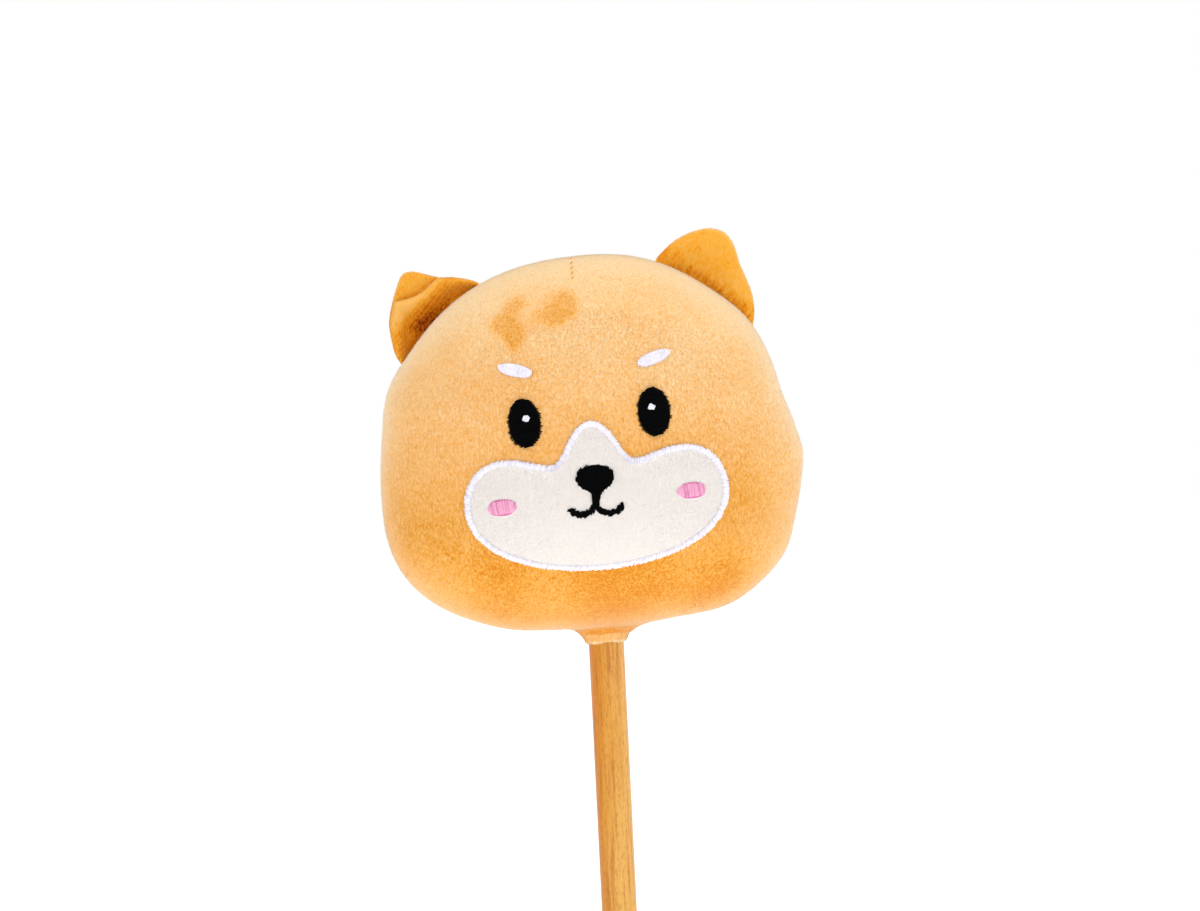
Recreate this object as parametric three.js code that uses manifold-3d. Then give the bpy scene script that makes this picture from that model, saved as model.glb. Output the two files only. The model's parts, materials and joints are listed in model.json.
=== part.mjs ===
// A hand puppet on a stick: a stuffed plush dog's head with a short gathered neck, held on a round
// wooden dowel. Millimetres, +Z up the dowel, the face looks towards -Y, and +X is on the right of
// someone who looks at the face. The origin is the centre of the dowel's lower end.

import * as THREE from 'three';
import { mergeVertices } from 'three/addons/utils/BufferGeometryUtils.js';
import Module from 'manifold-3d';

const wasm = await Module();
wasm.setup();

// ---- Driving dimensions ----

const GAP = 0.4;                  // clearance between pieces that lie on each other
const PLUSH = 1.8;                // thickness of the head's short-pile plush

const DOWEL_DIAMETER = 12;
const DOWEL_CHAMFER = 0.8;
const GRIP_LENGTH = 228;          // from the dowel's lower end to the neck, where the head leans
const DOWEL_INSERT = 58;          // how far the dowel reaches into the stuffing

const HEAD_WIDTH = 144.6;
const HEAD_BOTTOM = 2.5;          // heights above the neck
const HEAD_WIDEST = 50;
const HEAD_TOP = 130;
const FACE_DEPTH = 52;            // from the ear seam forwards and backwards
const BACK_DEPTH = 45;
const CROWN_ROUNDNESS = 2.2;      // exponents of the outline: 2 is an ellipse, more is squarer
const CHIN_ROUNDNESS = 2.5;
const DOME_ROUNDNESS = 2.2;
const HEAD_LEAN = 2.5;            // degrees that the head leans towards -X on its dowel

const LEAN_RANGE = 8;             // degrees that the head tilts and nods each way
const COLLAR_LENGTH = 3;          // below the neck
const COLLAR_RISE = 5;            // above the neck, inside the head
const COLLAR_WALL = 1;
const COLLAR_FLARE = 0.6;         // how much wider the collar is at its top
const COLLAR_LIP = 1.2;           // height of the collar's eased lower edge, and a quarter of it inwards
const NECK_PLAY = 0.2;            // room between dowel, thread and collar
const THREAD_DIAMETER = 0.5;
const THREAD_TURNS = 4;

const EAR_ANGLE = 53.5;           // direction of the ears from the head's middle, above sideways
const EAR_BASE_INNER = 20;        // along the seam, from the ear's middle towards the crown
const EAR_BASE_OUTER = 16.5;
const EAR_HEIGHT = 16.6;          // above the seam at the ear's middle
const EAR_SHEET = 1.2;
const EAR_HINGE_RISE = 2.6;       // the ear bends about a line this far outside the seam
const EAR_ROOT_GAP = 0.5;

const FACE_SHIFT = 1.3;           // the embroidery sits this far towards +X of the head's middle
const APPLIQUE = 0.9;             // thickness of the muzzle's cloth
const SATIN = 0.9;                // thickness of satin stitching
const BORDER_WIDTH = 2.6;

// ---- Materials ----

function paint(color, roughness) {
  return new THREE.MeshStandardMaterial({ color, roughness, metalness: 0 });
}

const COLORS = {
  wood: 0xdd9a48, plush: 0xf7c383, earPlush: 0xf0a43c, cream: 0xf3ece6, white: 0xeeeaf6,
  black: 0x0a0a0d, pink: 0xf0aacb, fibre: 0xf6f4ee, thread: 0xe0a868,
};

// ---- Closed grids ----

// Turns the grid inside out if its faces point inwards.
function faceOutwards(vertices, triangles) {
  let volume = 0;
  const [a, b, c] = [new THREE.Vector3(), new THREE.Vector3(), new THREE.Vector3()];
  for (const [i, j, k] of triangles) {
    a.fromArray(vertices[i]);
    b.fromArray(vertices[j]);
    c.fromArray(vertices[k]);
    volume += a.dot(b.cross(c));
  }
  return volume > 0 ? triangles : triangles.map(([i, j, k]) => [i, k, j]);
}

function closedGeometry(vertices, triangles) {
  const geometry = new THREE.BufferGeometry();
  geometry.setAttribute('position', new THREE.Float32BufferAttribute(vertices.flat(), 3));
  geometry.setIndex(faceOutwards(vertices, triangles).flat());
  geometry.computeVertexNormals();
  return geometry;
}

// A body like a globe: rows run from one pole to the other, and columns go round.
function globe(rows, columns, pointAt) {
  const vertices = [pointAt(0, 0)];
  for (let row = 1; row < rows; row++) {
    for (let column = 0; column < columns; column++) {
      vertices.push(pointAt(row, column));
    }
  }
  vertices.push(pointAt(rows, 0));
  const last = vertices.length - 1;
  const index = (row, column) => 1 + (row - 1) * columns + (column % columns);
  const triangles = [];
  for (let column = 0; column < columns; column++) {
    triangles.push([0, index(1, column + 1), index(1, column)]);
    for (let row = 1; row < rows - 1; row++) {
      const [a, b] = [index(row, column), index(row, column + 1)];
      const [c, d] = [index(row + 1, column + 1), index(row + 1, column)];
      triangles.push([a, b, c], [a, c, d]);
    }
    triangles.push([last, index(rows - 1, column), index(rows - 1, column + 1)]);
  }
  return closedGeometry(vertices, triangles);
}

// A body like a tyre: both the section's points and the columns go round.
function tyre(section, columns, pointAt) {
  const vertices = [];
  const triangles = [];
  const index = (point, column) => (column % columns) * section + (point % section);
  for (let column = 0; column < columns; column++) {
    for (let point = 0; point < section; point++) {
      vertices.push(pointAt(point, column));
      const [a, b] = [index(point, column), index(point + 1, column)];
      const [c, d] = [index(point + 1, column + 1), index(point, column + 1)];
      triangles.push([a, b, c], [a, c, d]);
    }
  }
  return closedGeometry(vertices, triangles);
}

// ---- Cutting ----

function toSolid(geometry) {
  const bare = geometry.clone();
  bare.deleteAttribute('normal');
  bare.deleteAttribute('uv');
  const merged = mergeVertices(bare, 1e-4);
  return new wasm.Manifold(new wasm.Mesh({
    numProp: 3,
    vertProperties: Float32Array.from(merged.attributes.position.array),
    triVerts: Uint32Array.from(merged.index.array),
  }));
}

function toGeometry(solid) {
  const mesh = solid.getMesh();
  const geometry = new THREE.BufferGeometry();
  geometry.setAttribute('position', new THREE.BufferAttribute(mesh.vertProperties, 3));
  geometry.setIndex(new THREE.BufferAttribute(mesh.triVerts, 1));
  geometry.computeVertexNormals();
  return geometry;
}

function cut(geometry, ...tools) {
  return toGeometry(tools.reduce((solid, tool) => solid.subtract(toSolid(tool)), toSolid(geometry)));
}

// ---- The head's form ----

const HEAD_SEGMENTS = 40;
const DOME_ROWS = 7;

// Distance from the head's middle to its outline, in the direction of an angle above sideways.
function outlineRadius(angle) {
  const upwards = Math.sin(angle) >= 0;
  const reach = upwards ? HEAD_TOP - HEAD_WIDEST : HEAD_WIDEST - HEAD_BOTTOM;
  const roundness = upwards ? CROWN_ROUNDNESS : CHIN_ROUNDNESS;
  const across = Math.abs(Math.cos(angle)) / (HEAD_WIDTH / 2);
  const along = Math.abs(Math.sin(angle)) / reach;
  return (across ** roundness + along ** roundness) ** (-1 / roundness);
}

// How high the dome stands over the seam's plane, as a share of its depth.
function domeShare(share) {
  return Math.sqrt(Math.max(0, 1 - share ** DOME_ROUNDNESS));
}

function facePoint(x, z) {
  const angle = Math.atan2(z - HEAD_WIDEST, x);
  const share = Math.hypot(x, z - HEAD_WIDEST) / outlineRadius(angle);
  return -FACE_DEPTH * domeShare(share);
}

// One point of a dome that is smaller than the head's outside all round.
function domePoint(side, depth, inset, share, angle) {
  const reach = share * (outlineRadius(angle) - inset);
  const seam = GAP / 2;
  return [
    reach * Math.cos(angle),
    side * (seam + (depth - inset - seam) * domeShare(share)),
    HEAD_WIDEST + reach * Math.sin(angle),
  ];
}

// Shares that crowd towards the rim, where the dome turns fastest.
function rimShare(row, rows) {
  return Math.sin((row / rows) * (Math.PI / 2));
}

function plushDome(side, depth) {
  return globe(2 * DOME_ROWS + 1, HEAD_SEGMENTS, (row, column) => {
    const outside = row <= DOME_ROWS;
    const step = outside ? row : 2 * DOME_ROWS + 1 - row;
    const angle = (column / HEAD_SEGMENTS) * 2 * Math.PI;
    return domePoint(side, depth, outside ? 0 : PLUSH, rimShare(step, DOME_ROWS), angle);
  });
}

function stuffingBall() {
  return globe(2 * DOME_ROWS, HEAD_SEGMENTS, (row, column) => {
    const front = row <= DOME_ROWS;
    const step = front ? row : 2 * DOME_ROWS - row;
    const angle = (column / HEAD_SEGMENTS) * 2 * Math.PI;
    const depth = front ? FACE_DEPTH : BACK_DEPTH;
    const point = domePoint(front ? -1 : 1, depth, PLUSH + GAP, rimShare(step, DOME_ROWS), angle);
    return row === DOME_ROWS ? [point[0], 0, point[2]] : point;
  });
}

// ---- Neck and dowel ----

const dowelRadius = DOWEL_DIAMETER / 2;
const leanSlope = Math.sin(THREE.MathUtils.degToRad(LEAN_RANGE));
const bothLeansSlope = Math.SQRT2 * leanSlope;
const threadReach = dowelRadius + NECK_PLAY + THREAD_DIAMETER;
const collarBore = threadReach + COLLAR_LENGTH * leanSlope + NECK_PLAY;
const collarReach = collarBore + COLLAR_WALL;
const neckHoleRadius = collarReach + COLLAR_FLARE + GAP + COLLAR_RISE * leanSlope;

function ringSolid(profile, segments) {
  const closed = [...profile, profile[0]].map(([radius, height]) => new THREE.Vector2(radius, height));
  return new THREE.LatheGeometry(closed, segments).rotateX(Math.PI / 2);
}

function roundSolid(profile, segments) {
  const points = profile.map(([radius, height]) => new THREE.Vector2(radius, height));
  return new THREE.LatheGeometry(points, segments).rotateX(Math.PI / 2);
}

// The dowel is drawn from its lower end, at height 0.
function dowel() {
  const length = GRIP_LENGTH + DOWEL_INSERT;
  return roundSolid([
    [0, 0],
    [dowelRadius - DOWEL_CHAMFER, 0],
    [dowelRadius, DOWEL_CHAMFER],
    [dowelRadius, length - DOWEL_CHAMFER],
    [dowelRadius - DOWEL_CHAMFER, length],
    [0, length],
  ], 32);
}

// The gathering thread is wound round the dowel inside the collar: a ring with one rib a turn.
function neckThread() {
  const inner = dowelRadius + NECK_PLAY;
  const top = -COLLAR_LENGTH + 1 + THREAD_TURNS * THREAD_DIAMETER;
  const profile = [[inner, top], [inner, top - THREAD_TURNS * THREAD_DIAMETER]];
  for (let turn = THREAD_TURNS; turn > 0; turn--) {
    const low = top - turn * THREAD_DIAMETER;
    profile.push([threadReach - THREAD_DIAMETER / 3, low]);
    profile.push([threadReach, low + THREAD_DIAMETER / 2]);
  }
  profile.push([threadReach - THREAD_DIAMETER / 3, top]);
  return ringSolid(profile, 24);
}

// The collar is the plush gathered to a short funnel that runs up into the head.
function neckCollar() {
  const flare = COLLAR_FLARE;
  return ringSolid([
    [collarBore, -COLLAR_LENGTH],
    [collarReach - COLLAR_LIP / 4, -COLLAR_LENGTH],
    [collarReach, -COLLAR_LENGTH + COLLAR_LIP],
    [collarReach, 0],
    [collarReach + flare, COLLAR_RISE],
    [collarBore + flare, COLLAR_RISE],
    [collarBore, 0],
  ], 32);
}

function neckHole() {
  const height = HEAD_WIDEST / 2;
  return new THREE.CylinderGeometry(neckHoleRadius, neckHoleRadius, 2 * height, 32)
    .rotateX(Math.PI / 2);
}

// The room that the dowel needs in the stuffing: it widens upwards, because the head leans on it.
function dowelPocket() {
  const top = DOWEL_INSERT + 3;
  const wide = dowelRadius + GAP + top * bothLeansSlope;
  return roundSolid([
    [0, -HEAD_WIDEST],
    [neckHoleRadius, -HEAD_WIDEST],
    [neckHoleRadius, COLLAR_RISE + 2],
    [Math.max(neckHoleRadius, wide), top],
    [0, top],
  ], 32);
}

// ---- Ears ----

const EAR_SEGMENTS = 30;
const earAngle = THREE.MathUtils.degToRad(EAR_ANGLE);

function outlinePoint(angle) {
  const radius = outlineRadius(angle);
  return new THREE.Vector2(radius * Math.cos(angle), HEAD_WIDEST + radius * Math.sin(angle));
}

// The ear's own frame: its middle on the seam, which way the seam runs there, and outwards.
const earSeat = outlinePoint(earAngle);
const earAlong = outlinePoint(earAngle - 0.01).sub(outlinePoint(earAngle + 0.01)).normalize();
const earOutwards = new THREE.Vector2(-earAlong.y, earAlong.x);
const earTurn = Math.atan2(earOutwards.x, earOutwards.y);

// The seam as the ear sees it: distance along it, and height over the ear's hinge line.
function seamInEar(angle) {
  const offset = outlinePoint(angle).sub(earSeat);
  return new THREE.Vector2(offset.dot(earAlong), offset.dot(earOutwards) - EAR_HINGE_RISE);
}

// The ear's edge from its outer end round to its inner end, where each ear has its own form.
function uprightEdge() {
  const top = EAR_HEIGHT - EAR_HINGE_RISE;
  return new THREE.CatmullRomCurve3([
    [EAR_BASE_OUTER, 0.5], [9, 0.36 * top], [1, 0.74 * top], [-4.5, 0.97 * top], [-9, top],
    [-14.5, 0.88 * top], [-18.2, 0.56 * top], [-EAR_BASE_INNER, 0.12 * top],
  ].map(([along, height]) => new THREE.Vector3(along, height, 0)), false, 'centripetal');
}

function crumpledEdge() {
  const top = EAR_HEIGHT - EAR_HINGE_RISE;
  return new THREE.CatmullRomCurve3([
    [EAR_BASE_OUTER + 2, 0], [15.5, 0.4 * top], [8, 0.72 * top], [2, 0.97 * top], [-2.8, top],
    [-6, 0.83 * top], [-10, 0.34 * top], [-13.5, 0.1 * top], [-EAR_BASE_INNER + 2.5, -0.2 * top],
  ].map(([along, height]) => new THREE.Vector3(along, height, 0)), false, 'centripetal');
}

function earOutline(edge) {
  const edgeCount = 20;
  const rootCount = EAR_SEGMENTS - edgeCount;
  const points = edge().getSpacedPoints(edgeCount - 1).map((point) => new THREE.Vector2(point.x, point.y));
  const start = points[points.length - 1].x;
  const end = points[0].x;
  const radius = outlineRadius(earAngle);
  for (let step = 1; step <= rootCount; step++) {
    const along = start + ((end - start) * step) / (rootCount + 1);
    const seam = seamInEar(earAngle - along / radius);
    points.push(new THREE.Vector2(seam.x, seam.y + EAR_ROOT_GAP));
  }
  return points;
}

function upright(point, share) {
  return (2.6 - 0.03 * Math.abs(point.x)) * (1 - share ** 2);
}

// The crumpled ear has a roll along its root, then a crease, then the tip folded up behind it.
function crumpled(point, share) {
  const top = EAR_HEIGHT - EAR_HINGE_RISE;
  const crease = 0.52 * top + 0.018 * (point.x + 2) ** 2;
  const fromCrease = point.y - crease;
  const roll = fromCrease < 0 ? 4.2 : 1.6;
  const valley = Math.exp(-((fromCrease / 1.4) ** 2));
  return (1 - share ** 2) * roll * (1 - 0.75 * valley);
}

function earPanel(edge, puff, side) {
  const outline = earOutline(edge);
  const rows = 4;
  const middle = new THREE.Vector2(-1, 0.35 * (EAR_HEIGHT - EAR_HINGE_RISE));
  return globe(2 * rows + 1, outline.length, (row, column) => {
    const outside = row <= rows;
    const share = (outside ? row : 2 * rows + 1 - row) / rows;
    const point = middle.clone().lerp(outline[column], share);
    const swell = puff(point, share);
    const depth = GAP / 2 + swell + (outside ? EAR_SHEET : 0);
    return [point.x, side * depth, point.y];
  });
}

// Puts an ear in its place on the head: sign 1 is the +X ear, -1 the -X ear.
function earGroup(sign, pieces) {
  const group = new THREE.Group();
  const seat = earSeat.clone().addScaledVector(earOutwards, EAR_HINGE_RISE);
  group.position.set(sign * seat.x, 0, seat.y);
  group.rotation.y = sign * earTurn;
  pieces.forEach((piece) => group.add(piece));
  return group;
}

function mirroredX(geometry) {
  const position = geometry.attributes.position;
  for (let i = 0; i < position.count; i++) {
    position.setX(i, -position.getX(i));
  }
  const index = geometry.index;
  for (let i = 0; i < index.count; i += 3) {
    const second = index.getX(i + 1);
    index.setX(i + 1, index.getX(i + 2));
    index.setX(i + 2, second);
  }
  geometry.computeVertexNormals();
  return geometry;
}

// ---- Embroidery: thin pads that follow the face ----

function ellipse(x, z, width, height, tilt, segments) {
  const turn = THREE.MathUtils.degToRad(tilt);
  const points = [];
  for (let i = 0; i < segments; i++) {
    const angle = (i / segments) * 2 * Math.PI;
    const point = new THREE.Vector2((width / 2) * Math.cos(angle), (height / 2) * Math.sin(angle));
    points.push(point.rotateAround(new THREE.Vector2(), turn).add(new THREE.Vector2(x, z)));
  }
  return points;
}

// A closed outline that is the same on both sides of the face's middle, from its lowest point up.
function mirroredOutline(draw, divisions) {
  const path = new THREE.Path();
  draw(path);
  const right = path.getPoints(divisions);
  const left = right.slice(1, -1).reverse().map((point) => new THREE.Vector2(-point.x, point.y));
  return [...right, ...left].map((point) => new THREE.Vector2(point.x + FACE_SHIFT, point.y));
}

function onFace(point, lift) {
  return [point.x, facePoint(point.x, point.y) - lift, point.y];
}

// A pad inside an outline. It starts at a lift over the plush and is as thick as its cloth.
function facePad(outline, middle, lift, thickness, rows) {
  const centre = new THREE.Vector2(...middle);
  return globe(2 * rows + 1, outline.length, (row, column) => {
    const outside = row <= rows;
    const share = (outside ? row : 2 * rows + 1 - row) / rows;
    return onFace(centre.clone().lerp(outline[column], share), outside ? lift + thickness : lift);
  });
}

// A band along the inside of an outline.
function faceBand(outline, inside, lift, thickness) {
  const corners = [[0, 0], [0, 1], [0.5, 1.3], [1, 1], [1, 0]];
  return tyre(corners.length, outline.length, (corner, column) => {
    const [inwards, height] = corners[corner];
    const point = outline[column].clone().lerp(inside[column], inwards);
    return onFace(point, lift + height * thickness);
  });
}

// The outline moved inwards by a distance, square to its edge.
function insetOutline(outline, distance) {
  const count = outline.length;
  return outline.map((point, i) => {
    const along = outline[(i + 1) % count].clone().sub(outline[(i + count - 1) % count]).normalize();
    return new THREE.Vector2(point.x - along.y * distance, point.y + along.x * distance);
  });
}

// A line of thread along a curve on the face, with round ends.
function faceStroke(curve, width, lift, thickness, steps) {
  const points = curve.getSpacedPoints(steps);
  const section = [[-1, 0], [-0.8, 1], [0, 1.25], [0.8, 1], [1, 0]];
  return globe(steps + 2, section.length, (row, column) => {
    const step = Math.min(Math.max(row - 1, 0), steps);
    const share = step / steps;
    const along = curve.getTangentAt(share);
    const beyond = row === 0 ? -0.4 * width : row === steps + 2 ? 0.4 * width : 0;
    const tip = row === 0 || row === steps + 2;
    const [side, height] = tip ? [0, 0.5] : section[column];
    const taper = row === 1 || row === steps + 1 ? 0.75 : 1;
    return onFace(new THREE.Vector2(
      points[step].x + along.x * beyond - along.y * side * taper * (width / 2),
      points[step].y + along.y * beyond + along.x * side * taper * (width / 2),
    ), lift + height * thickness);
  });
}

function muzzlePath(path) {
  path.moveTo(0, 24.3);
  path.bezierCurveTo(20.9, 24.3, 43.4, 31.5, 43.4, 47.6);
  path.bezierCurveTo(43.4, 56.6, 37.4, 62.7, 29.4, 62.7);
  path.bezierCurveTo(22.7, 62.7, 17.1, 59.6, 13.1, 59);
  path.bezierCurveTo(9.5, 60, 7.1, 73.2, 0, 73.2);
}

const MUZZLE_MIDDLE = [FACE_SHIFT, 44];
const muzzleLift = GAP;
const onMuzzle = 2 * GAP + APPLIQUE;

function muzzlePieces() {
  const outline = mirroredOutline(muzzlePath, 7);
  const seam = insetOutline(outline, BORDER_WIDTH);
  const cloth = insetOutline(outline, BORDER_WIDTH + GAP);
  return {
    patch: facePad(cloth, MUZZLE_MIDDLE, muzzleLift, APPLIQUE, 5),
    border: faceBand(outline, seam, muzzleLift, APPLIQUE + SATIN / 2),
  };
}

function nosePath(path) {
  path.moveTo(0, 45.3);
  path.bezierCurveTo(0.9, 45.3, 1.2, 45.6, 1.2, 46.3);
  path.bezierCurveTo(1.2, 50.2, 5.9, 50.8, 5.9, 54.4);
  path.bezierCurveTo(5.9, 57, 2.8, 58.7, 0, 58.7);
}

function nose() {
  return facePad(mirroredOutline(nosePath, 5), [FACE_SHIFT, 53], onMuzzle, SATIN, 2);
}

// The mouth is one line of thread: two shallow curves that meet under the nose.
function mouth() {
  const curve = new THREE.SplineCurve([
    [-9.2, 44.3], [-7.3, 42.4], [-4.4, 41.6], [-1.5, 42.8], [0, 43.6],
    [1.5, 42.8], [4.4, 41.6], [7.3, 42.4], [9.2, 44.3],
  ].map(([x, z]) => new THREE.Vector2(x + FACE_SHIFT, z)));
  return faceStroke(curve, 1.8, onMuzzle, SATIN, 20);
}

const EYE = { x: 21.1, z: 73.8, width: 10.4, height: 15.7 };
const BROW = { x: 22.6, z: 91.4, width: 11.2, height: 4, tilt: 17 };
const CHEEK = { x: 30.3, z: 47.4, width: 9.1, height: 5.6 };
const GLINT = { x: 0.9, z: 1.4, size: 2.2 };     // offset from the eye's middle, towards the nose

function eye(sign) {
  const x = sign * EYE.x + FACE_SHIFT;
  return facePad(ellipse(x, EYE.z, EYE.width, EYE.height, 0, 20), [x, EYE.z], GAP, SATIN, 2);
}

function eyeGlint(sign) {
  const x = sign * (EYE.x - GLINT.x) + FACE_SHIFT;
  const z = EYE.z + GLINT.z;
  return facePad(ellipse(x, z, GLINT.size, GLINT.size, 0, 10), [x, z], 2 * GAP + SATIN, SATIN / 2, 1);
}

function brow(sign) {
  const x = sign * BROW.x + FACE_SHIFT;
  const outline = ellipse(x, BROW.z, BROW.width, BROW.height, sign * BROW.tilt, 18);
  return facePad(outline, [x, BROW.z], GAP, SATIN, 2);
}

function cheek(sign) {
  const x = sign * CHEEK.x + FACE_SHIFT;
  const outline = ellipse(x, CHEEK.z, CHEEK.width, CHEEK.height, 0, 18);
  return facePad(outline, [x, CHEEK.z], onMuzzle, SATIN / 2, 1);
}

// The crown's dart is closed by a short line of thread that runs down from the seam.
function dartThread() {
  const curve = new THREE.LineCurve(
    new THREE.Vector2(0, HEAD_TOP - 9.5),
    new THREE.Vector2(0, HEAD_TOP - 1.2),
  );
  return faceStroke(curve, 0.8, GAP, 0.35, 8);
}

// The thread that closes the back by hand: it zigzags over the middle seam from panel to panel.
function closingThread() {
  const turns = 14;
  const pitch = 2.3;
  const half = 1.3;
  const diameter = 0.6;
  const points = [];
  for (let turn = 0; turn <= turns; turn++) {
    const x = turn % 2 ? half : -half;
    const z = HEAD_WIDEST - 12 - (turn - turns / 2) * pitch;
    const share = Math.hypot(x, z - HEAD_WIDEST) / outlineRadius(Math.atan2(z - HEAD_WIDEST, x));
    points.push(new THREE.Vector3(x, BACK_DEPTH * domeShare(share) + GAP + diameter, z));
  }
  const section = new THREE.Shape().absarc(0, 0, diameter / 2, 0, 2 * Math.PI);
  return new THREE.ExtrudeGeometry(section, {
    curveSegments: 3,
    steps: 3 * turns,
    extrudePath: new THREE.CatmullRomCurve3(points),
  });
}

// ---- Assembly ----

function named(name, geometry, material) {
  const mesh = new THREE.Mesh(geometry, material);
  mesh.name = name;
  return mesh;
}

function stickPieces() {
  const group = new THREE.Group();
  group.add(named('stick_dowel', dowel(), paint(COLORS.wood, 0.45)));
  const neck = new THREE.Group();
  neck.position.z = GRIP_LENGTH;
  neck.add(named('neck_thread', neckThread(), paint(COLORS.thread, 0.7)));
  group.add(neck);
  return group;
}

function headShell() {
  const hole = neckHole();
  const back = cut(plushDome(1, BACK_DEPTH), hole);
  const reach = HEAD_WIDTH;
  const half = (sign) => new THREE.BoxGeometry(reach, 4 * reach, 4 * reach)
    .translate(sign * (reach / 2 - GAP / 2), 0, 0);
  return [
    named('face_panel', cut(plushDome(-1, FACE_DEPTH), hole), paint(COLORS.plush, 0.9)),
    named('back_panel_left', cut(back, half(1)), paint(COLORS.plush, 0.9)),
    named('back_panel_right', cut(back, half(-1)), paint(COLORS.plush, 0.9)),
    named('stuffing', cut(stuffingBall(), dowelPocket()), paint(COLORS.fibre, 1)),
    named('dart_thread', dartThread(), paint(COLORS.thread, 0.8)),
    named('closing_thread', closingThread(), paint(COLORS.thread, 0.8)),
  ];
}

function ears() {
  const plush = () => paint(COLORS.earPlush, 0.9);
  return [
    earGroup(1, [
      named('ear_right_front', earPanel(uprightEdge, upright, -1), plush()),
      named('ear_right_back', earPanel(uprightEdge, upright, 1), plush()),
    ]),
    earGroup(-1, [
      named('ear_left_front', mirroredX(earPanel(crumpledEdge, crumpled, -1)), plush()),
      named('ear_left_back', mirroredX(earPanel(crumpledEdge, upright, 1)), plush()),
    ]),
  ];
}

function facePieces() {
  const muzzle = muzzlePieces();
  const pieces = [
    named('muzzle_patch', muzzle.patch, paint(COLORS.cream, 0.9)),
    named('muzzle_border', muzzle.border, paint(COLORS.white, 0.6)),
    named('nose', nose(), paint(COLORS.black, 0.6)),
    named('mouth', mouth(), paint(COLORS.black, 0.6)),
  ];
  for (const [side, sign] of [['left', -1], ['right', 1]]) {
    pieces.push(
      named(`eye_${side}`, eye(sign), paint(COLORS.black, 0.6)),
      named(`eye_glint_${side}`, eyeGlint(sign), paint(COLORS.white, 0.5)),
      named(`brow_${side}`, brow(sign), paint(COLORS.white, 0.6)),
      named(`cheek_${side}`, cheek(sign), paint(COLORS.pink, 0.6)),
    );
  }
  return pieces;
}

function head() {
  const group = new THREE.Group();
  group.position.z = GRIP_LENGTH;
  group.rotation.y = THREE.MathUtils.degToRad(-HEAD_LEAN);
  group.add(named('neck_collar', neckCollar(), paint(COLORS.plush, 0.9)));
  group.add(...headShell(), ...ears(), ...facePieces());
  return group;
}

const group = new THREE.Group();
group.add(stickPieces(), head());

export default group;
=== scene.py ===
"""The looks of the dog's-head stick puppet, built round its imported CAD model.

Lengths are millimetres in the head's own frame (origin at the neck, +Z up the head, face towards -Y)
until build() turns them into metres in the row frame. Places and sizes come from the CAD nodes.
"""

import json
import math

import bpy
import numpy as np
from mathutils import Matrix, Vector


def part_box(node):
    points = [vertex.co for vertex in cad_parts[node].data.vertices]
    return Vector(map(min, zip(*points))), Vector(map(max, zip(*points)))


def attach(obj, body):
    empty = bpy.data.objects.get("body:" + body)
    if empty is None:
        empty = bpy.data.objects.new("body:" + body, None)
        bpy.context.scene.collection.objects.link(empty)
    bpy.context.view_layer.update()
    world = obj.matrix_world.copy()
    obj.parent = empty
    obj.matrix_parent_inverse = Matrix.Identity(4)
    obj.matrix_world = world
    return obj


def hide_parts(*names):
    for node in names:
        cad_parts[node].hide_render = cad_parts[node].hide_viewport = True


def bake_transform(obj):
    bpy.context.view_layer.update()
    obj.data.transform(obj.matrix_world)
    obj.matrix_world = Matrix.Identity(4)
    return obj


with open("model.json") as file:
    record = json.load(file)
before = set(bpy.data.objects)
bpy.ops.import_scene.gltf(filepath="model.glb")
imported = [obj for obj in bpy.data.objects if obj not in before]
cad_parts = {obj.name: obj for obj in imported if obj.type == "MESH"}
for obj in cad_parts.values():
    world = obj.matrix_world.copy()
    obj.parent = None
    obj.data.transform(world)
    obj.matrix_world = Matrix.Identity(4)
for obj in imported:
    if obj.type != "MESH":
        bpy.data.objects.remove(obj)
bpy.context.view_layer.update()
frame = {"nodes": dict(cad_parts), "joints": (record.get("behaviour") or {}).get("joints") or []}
MM = 0.001
random = np.random.default_rng(11)

# ---- The head's frame, from the nod joint ----

JOINTS = {joint["name"]: joint for joint in frame["joints"]}
NECK = np.array(JOINTS["head_nod"]["pos_m"]) / MM
HEAD_X = np.array(JOINTS["head_nod"]["axis"])
HEAD_Z = np.array([-HEAD_X[2], 0, HEAD_X[0]])
HEAD_AXES = np.array([HEAD_X, [0, 1, 0], HEAD_Z])


def to_row(points):
    return points @ HEAD_AXES + NECK


def unit(vectors):
    return vectors / np.maximum(np.linalg.norm(vectors, axis=-1, keepdims=True), 1e-9)


def smooth(value, low, high):
    share = np.clip((value - low) / (high - low), 0, 1)
    return share * share * (3 - 2 * share)


def hump(value, spread):
    return np.exp(-((value / spread) ** 2))


def round_axis(reach, angle, height):
    """Places round an upright axis."""
    x, y = reach * np.cos(angle), reach * np.sin(angle)
    return np.stack([x, y, np.broadcast_to(height, x.shape)], -1)


def turn_from(start, angle):
    """The way round from one direction to another, from -pi to pi."""
    return np.mod(angle - start + math.pi, 2 * math.pi) - math.pi


def node_points(node):
    """A CAD node's corners in the head's frame."""
    corners = np.array([vertex.co for vertex in frame["nodes"][node].data.vertices]) / MM
    return (corners - NECK) @ HEAD_AXES.T


def node_box(node):
    points = node_points(node)
    return points.min(0), points.max(0)


def row_box(node):
    """A CAD node's lowest and highest corners in the row frame, in millimetres."""
    return [np.array(corner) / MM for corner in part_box(node)]


# ---- The head's form ----

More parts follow.
